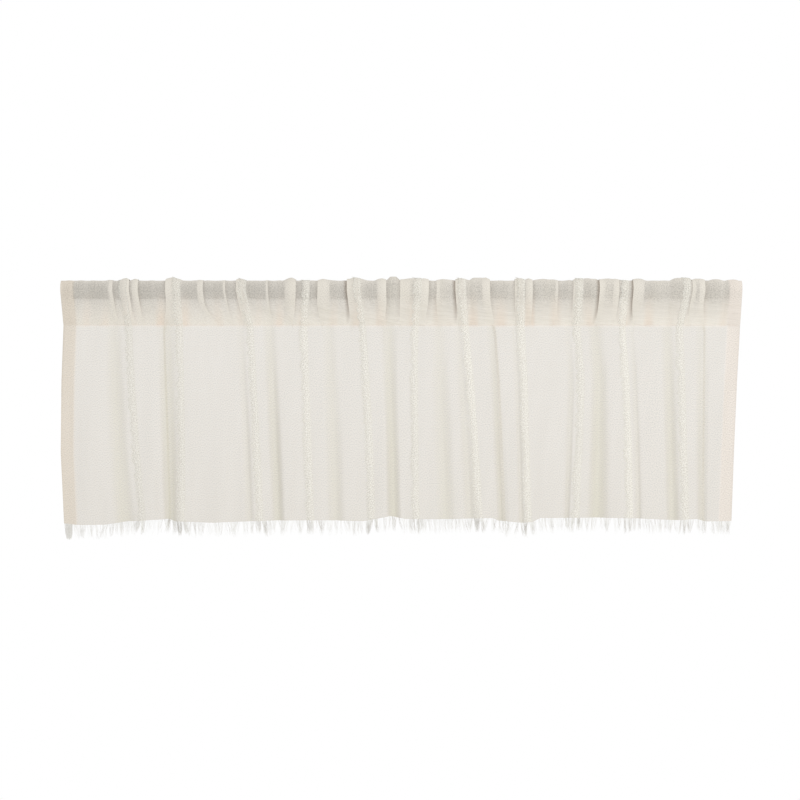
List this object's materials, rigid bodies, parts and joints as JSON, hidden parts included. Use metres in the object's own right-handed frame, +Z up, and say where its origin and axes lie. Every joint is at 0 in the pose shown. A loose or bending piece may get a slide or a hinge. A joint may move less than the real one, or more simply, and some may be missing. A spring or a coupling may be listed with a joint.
{
  "type": "window valance on rod",
  "caption": "Sheer gauze window valance gathered on a plain round rod, with vertical frayed strips on the front and a frayed thread fringe along the hem.",
  "frame": {"origin": "on the rod's axis, at the middle of its length", "axes": "+X runs along the rod to the right as seen from the room, +Y points to the window behind the cloth, +Z points up"},
  "size_m": [1.0705, 0.0408, 0.4145],
  "materials": {
    "gauze": "open ivory cotton gauze, matt and half see-through",
    "frayed_cotton": "cream cotton strip with a frayed, knotty raw edge",
    "fringe_thread": "loose off-white cotton thread ends",
    "rod_metal": "plain satin grey metal"
  },
  "bodies": {
    "root": {"valance_panel": "gauze", "frayed_strip_01": "frayed_cotton", "frayed_strip_02": "frayed_cotton", "frayed_strip_03": "frayed_cotton", "frayed_strip_04": "frayed_cotton", "frayed_strip_05": "frayed_cotton", "frayed_strip_06": "frayed_cotton", "frayed_strip_07": "frayed_cotton", "frayed_strip_08": "frayed_cotton", "frayed_strip_09": "frayed_cotton", "frayed_strip_10": "frayed_cotton", "frayed_strip_11": "frayed_cotton", "hem_fringe": "fringe_thread", "rod": "rod_metal"}
  },
  "joints": []
}
